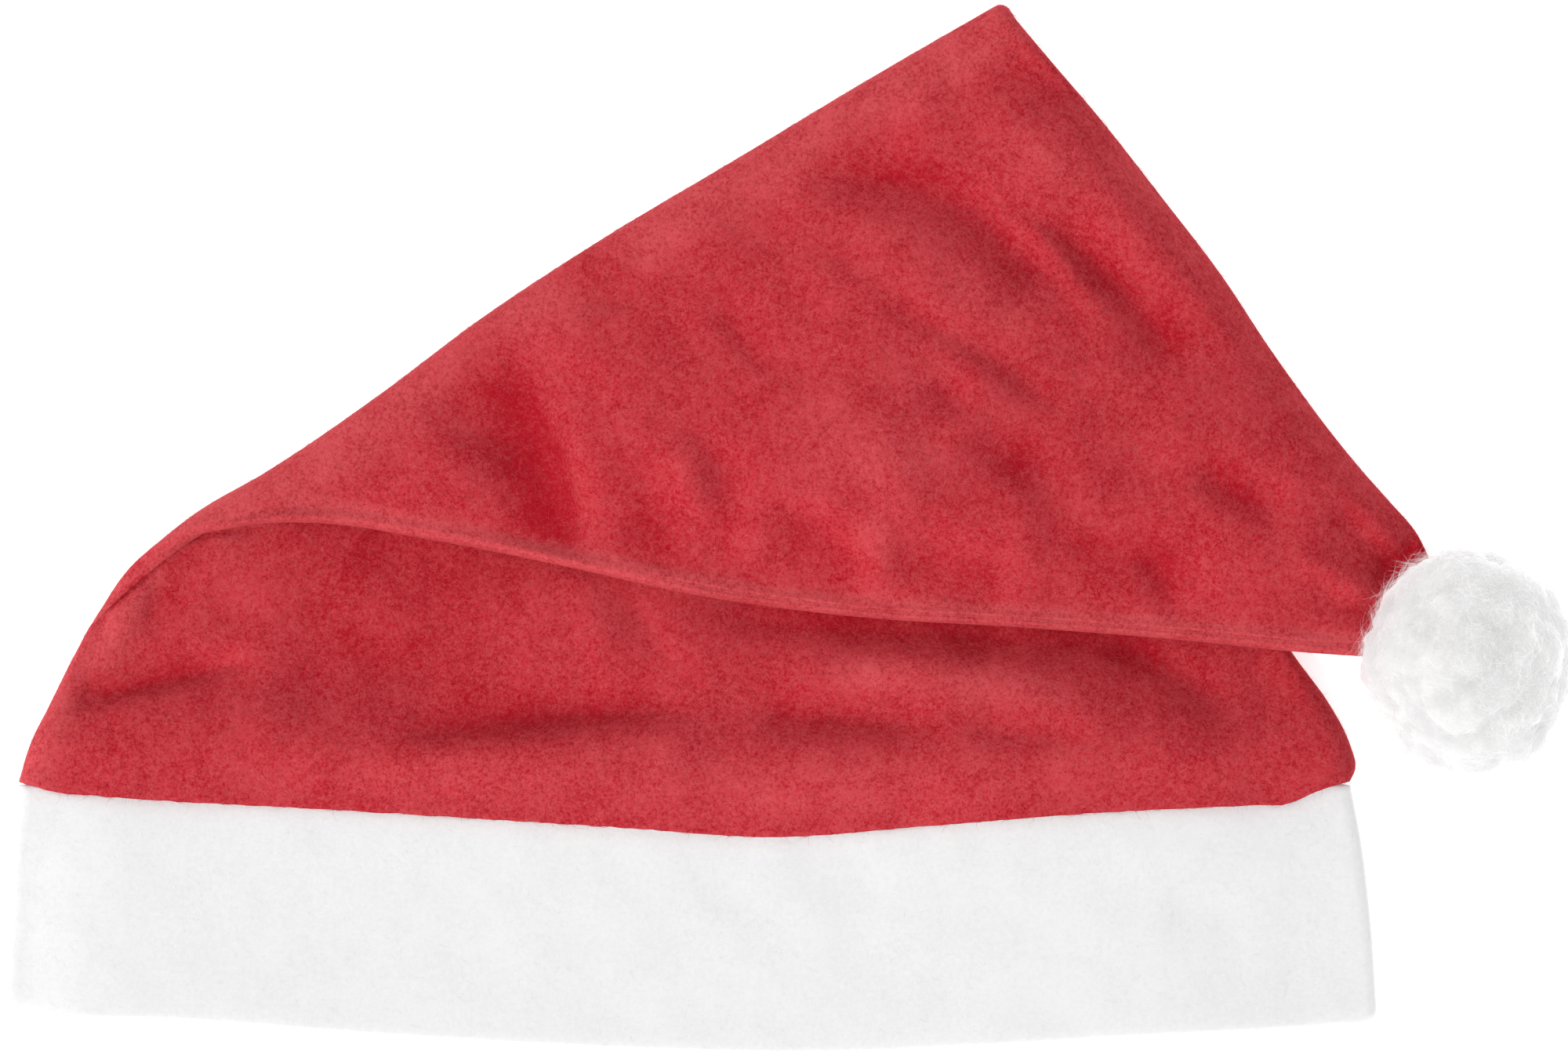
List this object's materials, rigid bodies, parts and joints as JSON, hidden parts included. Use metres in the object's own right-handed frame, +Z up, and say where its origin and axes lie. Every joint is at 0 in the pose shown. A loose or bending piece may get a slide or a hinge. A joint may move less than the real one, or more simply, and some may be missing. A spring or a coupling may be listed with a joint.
{
  "type": "santa hat",
  "caption": "Soft felt cone hat lying flat with its top folded over, a white brim round the open mouth and a cotton pompom at the tip.",
  "frame": {"origin": "middle of the box's underside; the hat lies flat on z = 0", "axes": "+X along the hat's width towards the pompom, +Y from the open mouth to the folded corner, +Z up from the surface"},
  "size_m": [0.3308, 0.2218, 0.041],
  "materials": {
    "red_felt": "red non-woven felt, matt, with short pale fibres",
    "white_fleece": "white brushed fleece, matt",
    "white_cotton": "loose white cotton wadding in soft locks"
  },
  "bodies": {
    "root": {"crown": "red_felt", "band": "white_fleece", "pompom": "white_cotton"}
  },
  "joints": []
}
